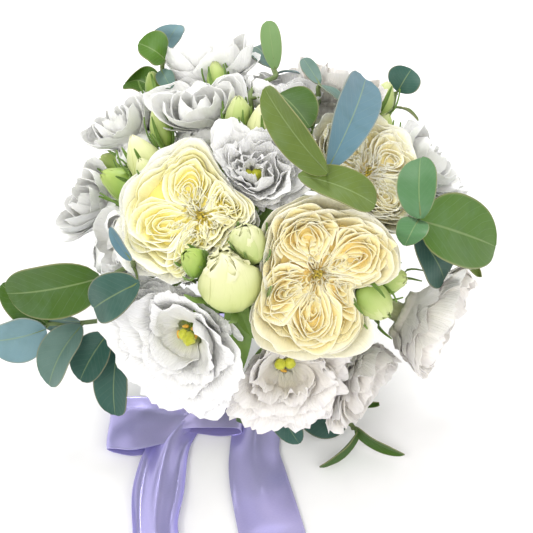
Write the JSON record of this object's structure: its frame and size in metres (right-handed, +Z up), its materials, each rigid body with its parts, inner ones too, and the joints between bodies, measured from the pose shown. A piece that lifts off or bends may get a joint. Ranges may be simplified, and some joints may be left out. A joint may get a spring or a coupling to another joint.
{
  "type": "bridal bouquet",
  "caption": "Hand-tied bridal bouquet lying on its side: cream garden roses, white lisianthus with green buds, eucalyptus, and a lavender satin ribbon bow with two long ends.",
  "frame": {"origin": "on the surface that the bouquet lies on, below the middle of its bounding box", "axes": "+Z up; -Y the way the flowers face and the ribbon's ends run; +X to the right, seen from the flowers' side"},
  "size_m": [0.2963, 0.3849, 0.2266],
  "materials": {
    "rose_petals": "matte, cream to yellow",
    "rose_stamens": "matte, yellow-green",
    "white_petals": "matte, white",
    "pistil": "matte, yellow-green",
    "green_stems": "fresh green stems, sepals and buds",
    "eucalyptus": "matte blue-green leaves with a waxy bloom",
    "ribbon": "satin, lavender"
  },
  "bodies": {
    "root": {"eucalyptus_bottom_middle": "eucalyptus", "eucalyptus_bottom_right": "eucalyptus", "eucalyptus_left_lower": "eucalyptus", "eucalyptus_left_slip": "eucalyptus", "eucalyptus_left_upper": "eucalyptus", "eucalyptus_middle": "eucalyptus", "eucalyptus_right": "eucalyptus", "eucalyptus_right_top": "eucalyptus", "eucalyptus_top_left": "eucalyptus", "eucalyptus_top_middle": "eucalyptus", "eucalyptus_top_right": "eucalyptus", "garden_rose_1_petals": "rose_petals", "garden_rose_1_stamens": "rose_stamens", "garden_rose_1_stem": "green_stems", "garden_rose_2_petals": "rose_petals", "garden_rose_2_stamens": "rose_stamens", "garden_rose_2_stem": "green_stems", "garden_rose_3_petals": "rose_petals", "garden_rose_3_stamens": "rose_stamens", "garden_rose_3_stem": "green_stems", "half_open_lisianthus_10_petals": "white_petals", "half_open_lisianthus_1_petals": "white_petals", "half_open_lisianthus_2_petals": "white_petals", "half_open_lisianthus_3_petals": "white_petals", "half_open_lisianthus_4_petals": "white_petals", "half_open_lisianthus_5_petals": "white_petals", "half_open_lisianthus_6_petals": "white_petals", "half_open_lisianthus_7_petals": "white_petals", "half_open_lisianthus_8_petals": "white_petals", "half_open_lisianthus_9_petals": "white_petals", "lisianthus_1_petals": "white_petals", "lisianthus_1_pistil": "pistil", "lisianthus_2_petals": "white_petals", "lisianthus_2_pistil": "pistil", "lisianthus_3_petals": "white_petals", "lisianthus_3_pistil": "pistil", "lisianthus_4_petals": "white_petals", "lisianthus_4_pistil": "pistil", "lisianthus_5_petals": "white_petals", "lisianthus_5_pistil": "pistil", "lisianthus_spray_1": "green_stems", "lisianthus_spray_10": "green_stems", "lisianthus_spray_11": "green_stems", "lisianthus_spray_12": "green_stems", "lisianthus_spray_13": "green_stems", "lisianthus_spray_2": "green_stems", "lisianthus_spray_3": "green_stems", "lisianthus_spray_4": "green_stems", "lisianthus_spray_5": "green_stems", "lisianthus_spray_6": "green_stems", "lisianthus_spray_7": "green_stems", "lisianthus_spray_8": "green_stems", "lisianthus_spray_9": "green_stems", "ribbon_left_end_and_bow": "ribbon", "ribbon_right_end": "ribbon", "ribbon_wrap": "ribbon"}
  },
  "joints": []
}
